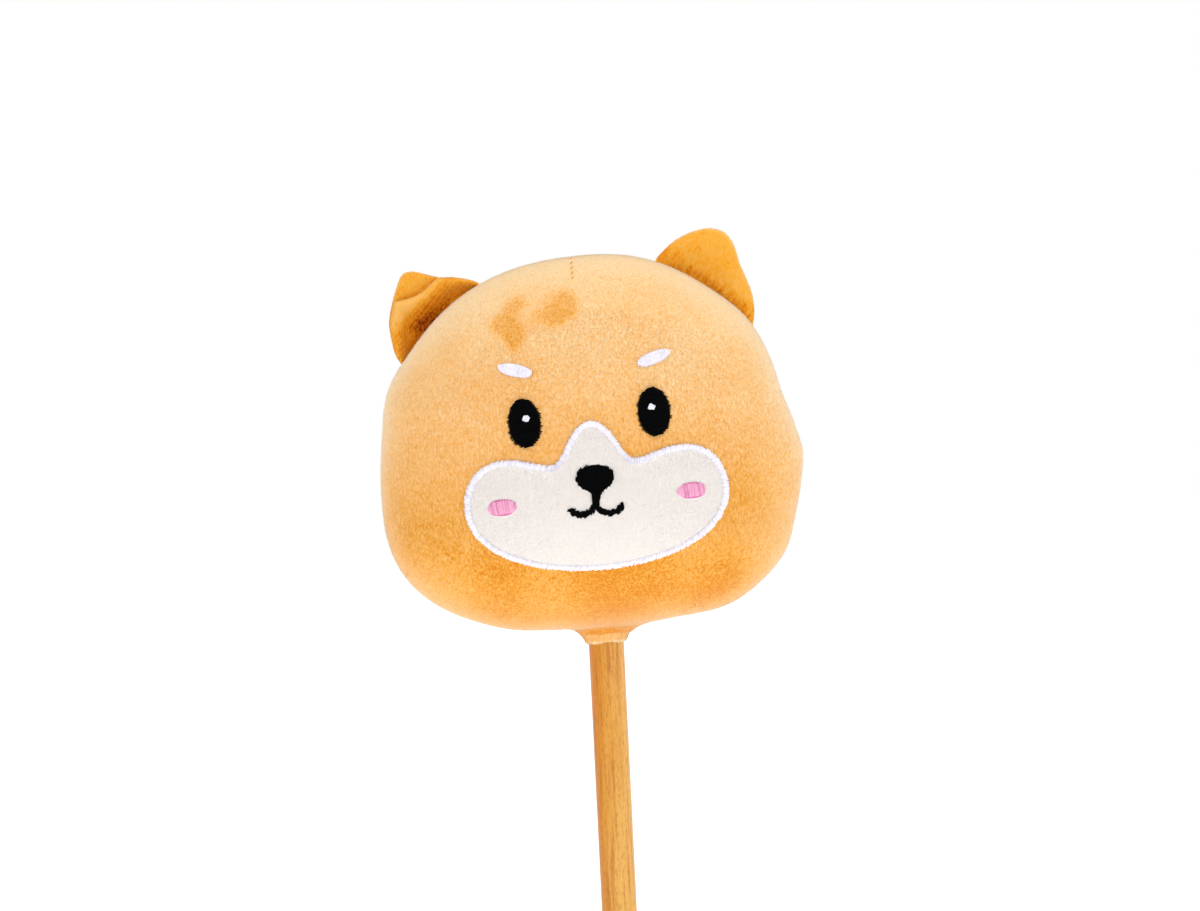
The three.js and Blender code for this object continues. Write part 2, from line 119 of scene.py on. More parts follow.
FACE = node_points("face_panel")
HALF_WIDTH = FACE[:, 0].max()
TOP = FACE[:, 2].max()
BOTTOM = FACE[:, 2].min()
WIDEST = FACE[FACE[:, 0].argmax(), 2]
FACE_DEPTH = -FACE[:, 1].min()
BACK_DEPTH = node_box("back_panel_left")[1][1]
CROWN_ROUNDNESS = 2.2
CHIN_ROUNDNESS = 2.5
DOME_ROUNDNESS = 2.2
FACE_MIDDLE = np.mean([corner[0] for corner in node_box("muzzle_border")])
DOWEL_LOW, DOWEL_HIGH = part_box("stick_dowel")
DOWEL_RADIUS = (DOWEL_HIGH.x - DOWEL_LOW.x) / 2 / MM
FUNNEL_RADIUS = DOWEL_RADIUS + 2.5
FUNNEL_DROP = 3.0
SEAM_PINCH = 0.9


def outline_radius(angle):
    """Distance from the head's middle to its outline, in a direction above sideways."""
    upwards = np.sin(angle) >= 0
    reach = np.where(upwards, TOP - WIDEST, WIDEST - BOTTOM)
    power = np.where(upwards, CROWN_ROUNDNESS, CHIN_ROUNDNESS)
    across = np.abs(np.cos(angle)) / HALF_WIDTH
    along = np.abs(np.sin(angle)) / reach
    return (across ** power + along ** power) ** (-1 / power) + unevenness(angle)


def unevenness(angle):
    """How far the stuffing pushes the seam out, or a pull in the seam draws it in, round the outline."""
    bulges = (
        (5, 1.0, 5), (22, -1.3, 7), (43, 1.2, 9), (74, 0.8, 14),
        (149, 1.9, 9), (235, 0.6, 9), (315, 1.8, 11), (348, -2.0, 9),
    )
    total = 0
    for degrees, height, spread in bulges:
        total = total + height * hump(turn_from(math.radians(degrees), angle), math.radians(spread))
    return total


def swells(x, z, side):
    """The stuffing pushes the plush out a little here and there."""
    broad = np.sin(x / 13.0 + 1.3 * side) * np.sin(z / 16.0 + 0.7)
    narrow = np.sin(x / 6.1 + z / 9.0) * np.sin(z / 7.3 - x / 11.0 + side)
    return 0.45 * broad + 0.22 * narrow


def head_points(side, share, angle):
    """The plush's outside: side -1 is the face, 1 the back; share runs from the middle to the seam."""
    radius = outline_radius(angle)
    reach = share * radius - SEAM_PINCH * hump((1 - share) * radius, 1.3)
    x = reach * np.cos(angle)
    z = WIDEST + reach * np.sin(angle)
    depth = FACE_DEPTH if side < 0 else BACK_DEPTH
    dome = np.sqrt(np.maximum(0, 1 - share ** DOME_ROUNDNESS))
    thick = depth * dome + swells(x, z, side) * smooth(dome, 0.1, 0.6)
    if side > 0:
        thick = thick - 0.8 * hump(x, 1.1) * smooth(dome, 0.0, 0.3)
    else:
        dart = hump(x, 0.9) * smooth(z, TOP - 12, TOP - 4)
        thick = thick - 0.9 * dart * smooth(dome, 0.0, 0.2)
    y = side * thick
    return funnel(np.stack([x, y, z], -1))


def funnel(points):
    """Draws the underside down to the gathered neck, with a wider sweep on the +X side."""
    x, y, z = points[..., 0], points[..., 1], points[..., 2]
    off_axis = np.hypot(x, y)
    lean = np.where(off_axis > 0, x / np.maximum(off_axis, 1e-6), 0)
    sweep = 4.5 + 2.0 * lean
    near = np.exp(-np.maximum(off_axis - FUNNEL_RADIUS, 0) / sweep)
    low = smooth(BOTTOM + 22 - z, 0, 18)
    return np.stack([x, y, z - FUNNEL_DROP * near * near * low], -1)


def head_point(x, z, side=-1):
    """The head's outside at a place seen from the front: side -1 is the face, 1 the back."""
    angle = np.arctan2(z - WIDEST, x)
    share = np.clip(np.hypot(x, z - WIDEST) / outline_radius(angle), 0, 0.999)
    return head_points(side, share, angle)


def face_normal(flat):
    x, z = flat[..., 0], flat[..., 1]
    step = 0.4
    across = head_point(x + step, z) - head_point(x - step, z)
    up = head_point(x, z + step) - head_point(x, z - step)
    return unit(np.cross(across, up))


def raised(flat, lift):
    """Places over the face, from places seen from the front."""
    return head_point(flat[..., 0], flat[..., 1]) + face_normal(flat) * np.asarray(lift)[..., None]


# ---- Meshes ----


def grid_faces(rows, columns, around=False, first=0):
    index = first + np.arange(rows * columns).reshape(rows, columns)
    left = index if around else index[:, :-1]
    right = np.roll(index, -1, 1) if around else index[:, 1:]
    return np.stack([left[:-1], right[:-1], right[1:], left[1:]], -1).reshape(-1, 4)


def disc_faces(rows, columns, around):
    """Faces of a dish: point 0 is its middle, and rings of points follow, seen anticlockwise from -Y."""
    last = columns if around else columns - 1
    first = np.arange(last) + 1
    second = np.roll(first, -1) if around else first + 1
    fan = np.stack([np.zeros(last, int), first, second], -1)
    return fan, grid_faces(rows, columns, around, 1)[:, ::-1]


def placed(name, data):
    thing = bpy.data.objects.new(name, data)
    bpy.context.scene.collection.objects.link(thing)
    return thing


def build(name, points, *face_lists, place=to_row):
    """A smooth mesh object from points in millimetres and arrays of faces."""
    mesh = bpy.data.meshes.new(name)
    places = (place(np.asarray(points, float)) * MM).astype(np.float32)
    mesh.vertices.add(len(places))
    mesh.vertices.foreach_set("co", places.ravel())
    corners = np.concatenate([faces.ravel() for faces in face_lists]).astype(np.int32)
    sizes = np.concatenate([np.full(len(faces), faces.shape[1]) for faces in face_lists])
    starts = (np.cumsum(sizes) - sizes).astype(np.int32)
    mesh.loops.add(len(corners))
    mesh.loops.foreach_set("vertex_index", corners)
    mesh.polygons.add(len(sizes))
    mesh.polygons.foreach_set("loop_start", starts)
    mesh.polygons.foreach_set("use_smooth", np.ones(len(sizes), bool))
    mesh.update(calc_edges=True)
    return placed(name, mesh)


def dish(name, grid, flat, whole, behind=False):
    """A surface of rings round a middle with its map; in a whole one the last column repeats the first."""
    columns = slice(-1) if whole else slice(None)
    points, places = (
        np.concatenate([values[0, :1], values[1:, columns].reshape(-1, values.shape[-1])])
        for values in (grid, flat)
    )
    faces = disc_faces(len(grid) - 1, grid[0, columns].shape[0], whole)
    piece = build(name, points, *[face[:, ::-1] if behind else face for face in faces])
    lay_flat(piece, places)
    return piece, points


def mark(piece, **marks):
    """Numbers that a material can read: one for each vertex, or one for all of them."""
    for name, values in marks.items():
        layer = piece.data.attributes.new(name, "FLOAT", "POINT")
        numbers = np.asarray(values, np.float32).ravel()
        layer.data.foreach_set("value", np.broadcast_to(numbers, len(piece.data.vertices)).copy())


def lay_flat(piece, places):
    """The map that the finish is baked on, from one place for each vertex."""
    corners = np.zeros(len(piece.data.loops), np.int32)
    piece.data.loops.foreach_get("vertex_index", corners)
    layer = piece.data.uv_layers.new(name="OFBake")
    layer.data.foreach_set("uv", np.asarray(places, np.float32)[corners].ravel())


def disc_place(share, angle):
    spread = 0.485 * np.arcsin(np.clip(share, 0, 1)) / (math.pi / 2)
    return 0.5 + round_axis(spread, angle, 0)[..., :2]


def grid_normals(grid):
    down = np.gradient(grid, axis=0)
    across = np.gradient(grid, axis=1)
    return unit(np.cross(across, down))


# ---- Pile: every strand is one thin blade rooted in its cloth ----

FACE_STRANDS = 175000
BACK_STRANDS = 82000
MUZZLE_STRANDS = 42000
EAR_STRANDS = 26000
COLLAR_STRANDS = 9000
STRAND_WIDTH = 0.18
# How far along a strand the cloth under the pile sits, so it takes part of the painted root shade.
SKIN_TIP = 0.35
MAP_SPREAD = 0.0009


def scatter(grid, count):
    """Even random places on a grid surface, as rows and columns with fractions."""
    diagonals = np.cross(grid[1:, 1:] - grid[:-1, :-1], grid[1:, :-1] - grid[:-1, 1:])
    area = np.linalg.norm(diagonals, axis=-1).ravel() / 2
    total = np.cumsum(area)
    picks = (np.arange(count) + random.random(count)) / count * total[-1]
    cell = np.minimum(np.searchsorted(total, picks), len(area) - 1)
    row, column = np.divmod(cell, grid.shape[1] - 1)
    return row + random.random(count), column + random.random(count)


def sample(values, row, column):
    """Values of a grid at places between its points."""
    top = np.minimum(row.astype(int), values.shape[0] - 2)
    left = np.minimum(column.astype(int), values.shape[1] - 2)
    down, across = row - top, column - left
    if values.ndim > 2:
        down, across = down[:, None], across[:, None]
    upper = values[top, left] * (1 - across) + values[top, left + 1] * across
    lower = values[top + 1, left] * (1 - across) + values[top + 1, left + 1] * across
    return upper * (1 - down) + lower * down


def downwards(normals, side):
    """The way down a cloth from its normals: towards the face over the front, away from it at the back."""
    flat = np.zeros(len(normals))
    return side * np.stack([flat, normals[:, 2], -normals[:, 1]], -1) + [0, 0, -0.35]


def pile(name, roots, normals, comb, nap, places, length, width=STRAND_WIDTH, rise=0.5):
    """Strands that grow from roots and lean along comb; their colour mark, random tone with painted light
    and shade, says how deep their colour is.
    """
    count = len(roots)
    lie = unit(comb) + random.normal(0, 0.22, (count, 3))
    lie = unit(lie - normals * np.sum(lie * normals, -1, keepdims=True))
    slope = (rise + random.normal(0, 0.13, count))[:, None]
    grow = normals * np.sin(slope) + lie * np.cos(slope)
    across = unit(np.cross(grow, normals) + random.normal(0, 0.1, (count, 3)))
    reach = (length * random.uniform(0.7, 1.1, count))[:, None]
    blades = np.stack([roots - across * width / 2, roots + across * width / 2, roots + grow * reach], 1)
    piece = build(name, blades.reshape(-1, 3), np.arange(3 * count).reshape(-1, 3))
    facing = (unit(normals + 0.12 * grow) @ HEAD_AXES).astype(np.float32)
    piece.data.normals_split_custom_set_from_vertices(np.repeat(facing, 3, 0))
    shade = random.random(count)
    mark(piece, nap=np.repeat(nap, 3), tip=np.tile([0.0, 0.0, 1.0], count), strand=np.repeat(shade, 3))
    corners = np.array([[-MAP_SPREAD, 0], [MAP_SPREAD, 0], [0, 2 * MAP_SPREAD]])
    lay_flat(piece, (places[:, None] + corners).reshape(-1, 2))
    return piece


def pile_over(name, grids, row, column, comb, length):
    """Strands on a grid's surface, from its points, normals, colour mark of tone and painted light, and map.
    """
    roots, normals, nap, places = (sample(values, row, column) for values in grids)
    return pile(name, roots, unit(normals), comb, nap, places, length, rise=0.35)


# ---- Materials ----


def linear(red, green, blue):
    shares = np.array([red, green, blue]) / 255
    values = np.where(shares <= 0.04045, shares / 12.92, ((shares + 0.055) / 1.055) ** 2.4)
    return (*values.tolist(), 1.0)


FINISHES = {}


class Finish:
    """A material, kept under its slot's name, and short ways to add nodes to it."""

    def __init__(self, name):
        self.material = bpy.data.materials.new(name)
        self.material.use_nodes = True
        FINISHES[name] = self.material
        self.tree = self.material.node_tree
        self.shader = self.tree.nodes["Principled BSDF"]

    def set(self, **values):
        for name, value in values.items():
            self.shader.inputs[name.replace("_", " ")].default_value = value

    def add(self, kind, values=(), **settings):
        node = self.tree.nodes.new(kind)
        for name, value in settings.items():
            setattr(node, name, value)
        for name, value in dict(values).items():
            if isinstance(value, bpy.types.NodeSocket):
                self.tree.links.new(value, node.inputs[name])
            else:
                node.inputs[name].default_value = value
        return node

    def read(self, name):
        return self.add("ShaderNodeAttribute", attribute_name=name).outputs["Fac"]

    def noise(self, scale, detail=2.0, stretch=(1, 1, 1)):
        where = self.add("ShaderNodeTexCoord").outputs["Object"]
        mapped = self.add("ShaderNodeMapping", {"Vector": where, "Scale": stretch})
        values = {"Vector": mapped.outputs["Vector"], "Scale": scale, "Detail": detail}
        return self.add("ShaderNodeTexNoise", values).outputs["Fac"]

    def mix(self, share, first, second, blend="MIX"):
        values = {0: share, 6: first, 7: second}
        return self.add("ShaderNodeMix", values, data_type="RGBA", blend_type=blend).outputs[2]

    def math(self, kind, *values):
        return self.add("ShaderNodeMath", dict(enumerate(values)), operation=kind).outputs[0]

    def about_zero(self, value, spread):
        return self.math("MULTIPLY_ADD", value, spread, -spread / 2)

    def ramp(self, share, *stops):
        """A colour for a share; each stop is a position and a display colour out of 255."""
        node = self.add("ShaderNodeValToRGB", {"Fac": share})
        while len(node.color_ramp.elements) < len(stops):
            node.color_ramp.elements.new(0.5)
        for element, (position, color) in zip(node.color_ramp.elements, stops):
            element.position = position
            element.color = linear(*color)
        return node.outputs["Color"]

    def surface(self, color, height, distance, strength=0.6):
        """Sets the shader's colour, and its relief from a height."""
        self.tree.links.new(color, self.shader.inputs["Base Color"])
        values = {"Height": height, "Distance": distance * MM, "Strength": strength}
        node = self.add("ShaderNodeBump", values)
        self.tree.links.new(node.outputs["Normal"], self.shader.inputs["Normal"])


def plush_finish(name, pale, middle, deep, dark, root_shade, contrast=1.1, sheen=0.8, deep_from=0.85):
    """Short-pile plush: its colour runs from pale to dark along a mark of random tone, brushed patches and
    painted light and shade, with painted shade at the strands' roots.
    """
    finish = Finish(name)
    streaks = finish.about_zero(finish.noise(1500, 2.0, (1, 1, 0.5)), contrast)
    tufts = finish.about_zero(finish.noise(520), 0.3)
    clouds = finish.about_zero(finish.noise(60, 3.0), 0.36)
    strands = finish.about_zero(finish.read("strand"), 0.16)
    # The mark read here holds random tone, brushed patches, and painted light and shade.
    nap = finish.read("nap")
    for part in (streaks, tufts, clouds, strands):
        nap = finish.math("ADD", nap, part)
    body = finish.ramp(nap, (0.0, pale), (0.45, middle), (deep_from, deep), (1.0, dark))
    # Painted shade between the strands: each darkens towards its root, and the cloth beneath takes part of
    # that shade.
    shade = finish.ramp(finish.read("tip"), (0.0, root_shade), (0.7, (255, 255, 255)))
    body = finish.mix(1.0, body, shade, "MULTIPLY")
    finish.surface(body, finish.noise(1500), 0.25)
    finish.set(Roughness=0.85, Sheen_Weight=sheen, Sheen_Roughness=0.35, Sheen_Tint=linear(255, 240, 222))
    finish.set(Specular_IOR_Level=0.15)


def thread_finish(name, color, shadow, sheen, rough=0.5, gloss=0.3):
    """Embroidery thread: a soft gloss, and a twist that runs round every stitch."""
    finish = Finish(name)
    patchy_shade = finish.about_zero(finish.noise(900), 0.6)
    # Painted light and shade: each stitch's mark and a patchy noise choose between the thread's colour and a
    # painted shadow of it.
    body = finish.ramp(finish.math("ADD", finish.read("strand"), patchy_shade), (0.1, shadow), (0.8, color))
    finish.surface(body, finish.noise(4200, 1.0), 0.05)
    finish.set(Roughness=rough, Specular_IOR_Level=gloss, Sheen_Weight=sheen, Sheen_Roughness=0.3)


def wood_finish():
    finish = Finish("varnished_wood")
    grain = finish.noise(950, 3.0, (1, 1, 0.05))
    bands = finish.noise(150, 2.0, (1, 1, 0.12))
    pores = finish.noise(2600, 2.0, (1, 1, 0.22))
    # The stick's colour mark is painted light and shade round the stick; the bands are its grain.
    shade = finish.math("ADD", finish.read("nap"), finish.about_zero(bands, 0.7))
    light, medium, dark = (224, 176, 92), (204, 136, 24), (187, 107, 0)
    body = finish.ramp(shade, (0.0, light), (0.5, medium), (1.0, dark))
    line, beside, clear = (206, 152, 76), (255, 252, 246), (255, 255, 253)
    lines = finish.ramp(grain, (0.3, line), (0.52, beside), (0.7, clear))
    body = finish.mix(0.6, body, lines, "MULTIPLY")
    marks = finish.ramp(pores, (0.34, (176, 112, 44)), (0.5, (255, 255, 255)))
    body = finish.mix(0.32, body, marks, "MULTIPLY")
    finish.surface(body, grain, 0.08, 0.5)
    finish.set(Roughness=0.38, Coat_Weight=0.1, Coat_Roughness=0.3, Specular_IOR_Level=0.3)


# Along each plush ramp, painted light reaches the pale end and painted shade the deep and dark ends, in
# creases, hollows and round the neck.
plush_finish(
    "head_plush", (246, 222, 178), (245, 196, 125), (229, 165, 56), (218, 140, 36),
    (246, 228, 204),
)
plush_finish(
    "ear_plush", (252, 208, 126), (250, 188, 56), (242, 152, 10), (140, 40, 0),
    (246, 224, 190), 0.7, 0.3, 0.66,
)
plush_finish(
    "cream_cloth", (243, 239, 235), (239, 233, 229), (234, 228, 224), (226, 218, 213),
    (246, 244, 242), 0.7, 0.4,
)
thread_finish("white_satin", (238, 236, 243), (222, 217, 238), 0.15)
thread_finish("black_satin", (3, 3, 4), (1, 1, 2), 0.0, 0.8, 0.05)
thread_finish("pink_satin", (238, 176, 205), (205, 105, 158), 0.1)
thread_finish("sewing_thread", (236, 176, 104), (196, 134, 74), 0.1)
wood_finish()


def finished(piece, slot, body=None, node=None):
    """Gives a piece its material, which is named after its slot, and the body it rides on, and hides the CAD
    node it stands for.
    """
    piece.data.materials.append(FINISHES[slot])
    if body:
        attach(piece, body)
    if node:
        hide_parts(node)


# ---- Embroidery: every stitch is a length of thread ----

STITCH_PITCH = 0.4
THREAD = 0.46
BLACK_WIDTH = 0.66
THREAD_STEPS = 7
THREAD_SIDES = 6


def tubes(centres, normals, radii, sides=THREAD_SIDES):
    """Closed tubes through centres, an array of threads by points by three."""
    count, steps = centres.shape[:2]
    along = unit(np.gradient(centres, axis=1))
    across = unit(np.cross(along, normals))
    over = np.cross(across, along)
    turn = np.arange(sides) / sides * 2 * math.pi
    ring = across[:, :, None] * np.cos(turn)[:, None] + over[:, :, None] * np.sin(turn)[:, None]
    points = centres[:, :, None] + ring * radii[:, :, None, None]
    index = np.arange(count * steps * sides).reshape(count, steps, sides)
    nxt = np.roll(index, -1, 2)
    walls = np.stack([index[:, :-1], index[:, 1:], nxt[:, 1:], nxt[:, :-1]], -1).reshape(-1, 4)
    ends = np.concatenate([index[:, 0], index[:, -1, ::-1]])
    return points.reshape(-1, 3), walls, ends


def stitches(starts, ends, lift, crown, bury=0.5, thread=THREAD):
    """Threads from starts to ends on the face, each arched over its middle and buried at its ends."""
    share = np.linspace(0, 1, THREAD_STEPS)
    flat = starts[:, None] * (1 - share[:, None]) + ends[:, None] * share[:, None]
    arch = np.sin(math.pi * share) ** 0.45
    swing = random.uniform(0.9, 1.1, (len(starts), 1))
    height = lift - bury + (bury + crown) * arch * swing
    centres = raised(flat, height)
    taper = np.where(share * (1 - share) > 0, 1.0, 0.55)
    radii = thread / 2 * taper * random.uniform(0.92, 1.08, (len(starts), 1))
    return tubes(centres, face_normal(flat), radii)


def join_parts(name, *parts):
    """One mesh from several (points, faces...) parts."""
    points, lists, first = [], {}, 0
    for corners, *faces in parts:
        points.append(corners)
        for face in faces:
            lists.setdefault(face.shape[1], []).append(face + first)
        first += len(corners)
    return build(name, np.concatenate(points), *[np.concatenate(faces) for faces in lists.values()])


def vary_threads(piece, threads):
    """A painted shade for each of the threads, which come last in the mesh, between the thread's colour and
    its painted shadow; what lies beneath them stays in the painted shadow.
    """
    each = THREAD_STEPS * THREAD_SIDES
    shades = np.zeros(len(piece.data.vertices))
    shades[-threads * each:] = np.repeat(random.uniform(0.35, 1, threads), each)
    mark(piece, strand=shades)
    return piece


def turned_axes(turn):
    """Two directions on the face: along a turn, and square to it."""
    return np.array([[math.cos(turn), math.sin(turn)], [-math.sin(turn), math.cos(turn)]])


def chords(outline, turn, pitch, ragged):
    """Parallel lines across an outline, along a turn, with uneven ends."""
    axes = turned_axes(turn)
    local = outline @ axes.T
    after = np.roll(local, -1, 0)
    starts, ends = [], []
    for level in np.arange(local[:, 1].min() + pitch / 2, local[:, 1].max(), pitch):
        crossing = (local[:, 1] - level) * (after[:, 1] - level) <= 0
        first, second = local[crossing], after[crossing]
        rise = second[:, 1] - first[:, 1]
        share = (level - first[:, 1]) / np.where(np.abs(rise) < 1e-9, 1e-9, rise)
        hits = first[:, 0] + share * (second[:, 0] - first[:, 0])
        starts.append([hits.min() - ragged * random.random(), level])
        ends.append([hits.max() + ragged * random.random(), level])
    return np.array(starts) @ axes, np.array(ends) @ axes


def ellipse_of(node):
    """The ellipse that a CAD pad fills: middle, two half sizes, and the turn of the longer one."""
    flat = node_points(node)[:, [0, 2]]
    middle = (flat.min(0) + flat.max(0)) / 2
    _, _, axes = np.linalg.svd(flat - middle, full_matrices=False)
    reach = np.abs((flat - middle) @ axes.T).max(0)
    return middle, reach, math.atan2(axes[0][1], axes[0][0])


def ellipse(middle, reach, turn, count=72, square=2.0):
    """Points round an ellipse; square over 2 blunts its ends."""
    angle = np.arange(count) / count * 2 * math.pi
    ring = np.stack([np.cos(angle), np.sin(angle)], -1)
    flat = np.sign(ring) * np.abs(ring) ** (2 / square) * reach
    return flat @ turned_axes(turn) + middle


def underlay(outline, lift, thickness):
    """A low pad of the same thread beneath the stitches, so nothing shows between them."""
    middle = outline.mean(0)
    rows = 6
    share = np.linspace(0.0, 0.97, rows + 1)[1:]
    flat = middle + (outline - middle) * share[:, None, None]
    height = lift + thickness * np.sqrt(1 - share ** 4)
    ring = raised(flat, height[:, None])
    centre = raised(middle, lift + thickness)
    skirt = raised(flat[-1], lift - 0.8)
    points = np.concatenate([[centre], ring.reshape(-1, 3), skirt])
    fan, walls = disc_faces(rows + 1, len(outline), True)
    return points, walls, fan


def satin(name, outline, turn, lift, crown, ragged=0.35, thread=THREAD):
    starts, ends = chords(outline, turn, thread * 0.87, ragged)
    threads = stitches(starts, ends, lift, crown, thread=thread)
    piece = join_parts(name, underlay(outline, lift, crown * 0.7), threads)
    return vary_threads(piece, len(starts))


# ---- Outlines on the face, fitted to their CAD nodes ----


def bezier(points, count):
    t = np.linspace(0, 1, count, endpoint=False)[:, None]
    a, b, c, d = (np.array(point, float) for point in points)
    return (1 - t) ** 3 * a + 3 * (1 - t) ** 2 * t * b + 3 * (1 - t) * t * t * c + t ** 3 * d


def spline(values, where):
    """Catmull-Rom through evenly spaced values."""
    padded = np.concatenate([[2 * values[0] - values[1]], values, [2 * values[-1] - values[-2]]])
    index = np.clip(where.astype(int), 0, len(values) - 2)
    t = where - index
    a, b, c, d = (padded[index + offset] for offset in range(4))
    return b + 0.5 * t * (c - a + t * (2 * a - 5 * b + 4 * c - d + t * (3 * (b - c) + d - a)))


def curve(knots, count):
    """A smooth line through knots, each a pair of numbers."""
    knots = np.array(knots, float)
    where = np.linspace(0, len(knots) - 1, count)
    return np.stack([spline(knots[:, axis], where) for axis in (0, 1)], -1)


def mirrored(curves, top, count):
    """A closed outline from its right half, which runs from the lowest point up to the top."""
    right = np.concatenate([bezier(part, count) for part in curves] + [[top]])
    left = right[1:-1][::-1] * [-1, 1]
    return np.concatenate([right, left])


def fitted(outline, node):
    """The outline moved and scaled to fill the CAD node's box, as seen from the front."""
    low, high = (corner[[0, 2]] for corner in node_box(node))
    share = (outline - outline.min(0)) / (outline.max(0) - outline.min(0))
    return low + share * (high - low)


def lengths_along(line):
    return np.concatenate([[0], np.cumsum(np.linalg.norm(np.diff(line, axis=0), axis=1))])


def places_along(line, where):
    return np.stack([np.interp(where, lengths_along(line), line[:, axis]) for axis in (0, 1)], -1)


def even_steps(outline, pitch):
    """Places a pitch apart along a closed outline."""
    closed = np.vstack([outline, outline[:1]])
    length = lengths_along(closed)[-1]
    count = int(round(length / pitch))
    return places_along(closed, np.arange(count) / count * length)


def softened(outline, passes):
    """A closed outline with its corners rounded."""
    for _ in range(passes):
        outline = (np.roll(outline, 1, 0) + 2 * outline + np.roll(outline, -1, 0)) / 4
    return outline


def inwards(outline):
    """The direction into a closed outline at each of its points, smoothed a little."""
    along = np.roll(outline, -2, 0) - np.roll(outline, 2, 0)
    return unit(np.stack([-along[:, 1], along[:, 0]], -1))


def inside(outline, flat):
    x, z = flat[:, 0], flat[:, 1]
    count = np.zeros(len(flat), int)
    for (x1, z1), (x2, z2) in zip(outline, np.roll(outline, -1, 0)):
        if z1 == z2:
            continue
        crosses = (z1 > z) != (z2 > z)
        count += crosses & (x < x1 + (z - z1) / (z2 - z1) * (x2 - x1))
    return count % 2 == 1


MUZZLE_CURVES = [
    [(0, 24.3), (20.9, 24.3), (43.4, 31.5), (43.4, 47.6)],
    [(43.4, 47.6), (43.4, 56.6), (37.4, 62.7), (29.4, 62.7)],
    [(29.4, 62.7), (22.7, 62.7), (17.1, 59.6), (13.1, 59)],
    [(13.1, 59), (9.5, 60), (7.1, 73.2), (0, 73.2)],
]
NOSE_CURVES = [
    [(0, 45.3), (0.9, 45.3), (1.2, 45.6), (1.2, 46.3)],
    [(1.2, 46.3), (1.2, 48.6), (1.6, 49.5), (3.0, 50.3)],
    [(3.0, 50.3), (4.9, 51.2), (5.9, 52.4), (5.9, 54.5)],
    [(5.9, 54.5), (5.9, 57.2), (3.0, 58.7), (0, 58.7)],
]
MUZZLE = softened(even_steps(fitted(mirrored(MUZZLE_CURVES, (0, 73.2), 24), "muzzle_border"), 1.0), 8)
NOSE = fitted(mirrored(NOSE_CURVES, (0, 58.7), 10), "nose")
NOSE -= smooth(NOSE[:, 1:].min() + 4 - NOSE[:, 1:], 0, 3.5) * [0.6, 1.1]
BORDER_WIDTH = 2.6
CLOTH_LIFT = 0.4
MUZZLE_PUFF = 1.5
MUZZLE_ROWS = 40
CLOTH_THICKNESS = 0.6


def muzzle_patch():
    cloth = MUZZLE + inwards(MUZZLE) * (BORDER_WIDTH * 0.6)
    middle = np.array([FACE_MIDDLE, 44.0])
    share = np.linspace(0, 1, MUZZLE_ROWS + 1)
    flat = middle + (cloth - middle) * share[:, None, None]
    flat = np.concatenate([flat, flat[:, :1]], 1)
    lift = CLOTH_LIFT + MUZZLE_PUFF * np.sqrt(np.maximum(0, 1 - share ** 5))[:, None]
    ripple = 0.10 * np.sin(flat[..., 0] / 2.3) * np.sin(flat[..., 1] / 2.9)
    grid = raised(flat, lift + ripple)
    low = flat.min((0, 1))
    spread = (flat.max((0, 1)) - low).max()
    places = (flat - low) / spread * 0.96 + 0.02
    patch, _ = dish("muzzle_patch_cloth", grid, places, True)
    mark(patch, nap=0.45, tip=0.6)
    thicken(patch, CLOTH_THICKNESS)
    finished(patch, "cream_cloth", "head", "muzzle_patch")
    row, column = scatter(grid, MUZZLE_STRANDS)
    spots = sample(flat, row, column)
    clear = ~inside(NOSE, spots)
    for side in ("left", "right"):
        clear &= ~inside(ellipse(*ellipse_of(f"cheek_{side}")), spots)
    row, column, spots = row[clear], column[clear], spots[clear]
    roots = sample(grid, row, column)
    normals = face_normal(spots)
    comb = np.tile([0.2, 0.0, -1.0], (len(roots), 1))
    nap = 0.3 + 0.3 * random.random(len(roots))
    spots = sample(places, row, column)
    fuzz = pile("muzzle_patch_pile", roots, normals, comb, nap, spots, length=0.75, width=0.16)
    finished(fuzz, "cream_cloth", "head")


def thicken(piece, thickness):
    """Gives an open surface its cloth's thickness, inwards."""
    solid = piece.modifiers.new("thickness", "SOLIDIFY")
    solid.thickness = thickness * MM
    solid.offset = -1


def muzzle_border():
    line = even_steps(MUZZLE, STITCH_PITCH)
    wide = BORDER_WIDTH + random.uniform(-0.25, 0.25, (len(line), 1))
    slant = np.roll(line, -2, 0) - line
    outer = line + inwards(line) * random.uniform(-0.35, 0.2, (len(line), 1))
    ends = line + inwards(line) * wide + slant * 0.5
    section = [(0.15, 0.4), (0.5, 1.1), (0.85, 0.6)]
    band = [raised(line + inwards(line) * (BORDER_WIDTH * share), height) for share, height in section]
    base = (np.concatenate(band), grid_faces(len(section), len(line), True)[:, ::-1])
    piece = join_parts("muzzle_border_stitches", base, stitches(outer, ends, 0.5, 0.8, 0.9))
    vary_threads(piece, len(line))
    finished(piece, "white_satin", "head", "muzzle_border")


def mouth():
    line = curve([
        (-8.6, 45.0), (-7.2, 43.6), (-4.9, 43.0), (-2.6, 43.6), (-0.7, 45.0),
        (1.2, 43.6), (3.4, 42.8), (5.8, 43.1), (8.1, 44.6),
    ], 400) + [FACE_MIDDLE, 0]
    path = places_along(line, np.arange(0, lengths_along(line)[-1], STITCH_PITCH * 0.9))
    along = unit(np.gradient(path, axis=0))
    aside = np.stack([-along[:, 1], along[:, 0]], -1)
    half = 1.0 + random.uniform(-0.3, 0.5, (len(path), 1))
    slant = (aside + 0.6 * along) * half
    parts = stitches(path + slant, path - slant, CLOTH_LIFT + MUZZLE_PUFF, 0.6, thread=0.8 * BLACK_WIDTH)
    piece = vary_threads(join_parts("mouth_stitches", parts), len(path))
    finished(piece, "black_satin", "head", "mouth")


def pad(node, outline, turn, lift, crown, slot, ragged=0.35, thread=THREAD):
    """A CAD pad as satin stitches in the same place."""
    piece = satin(f"{node}_stitches", outline, turn, lift, crown, ragged, thread)
    finished(piece, slot, "head", node)


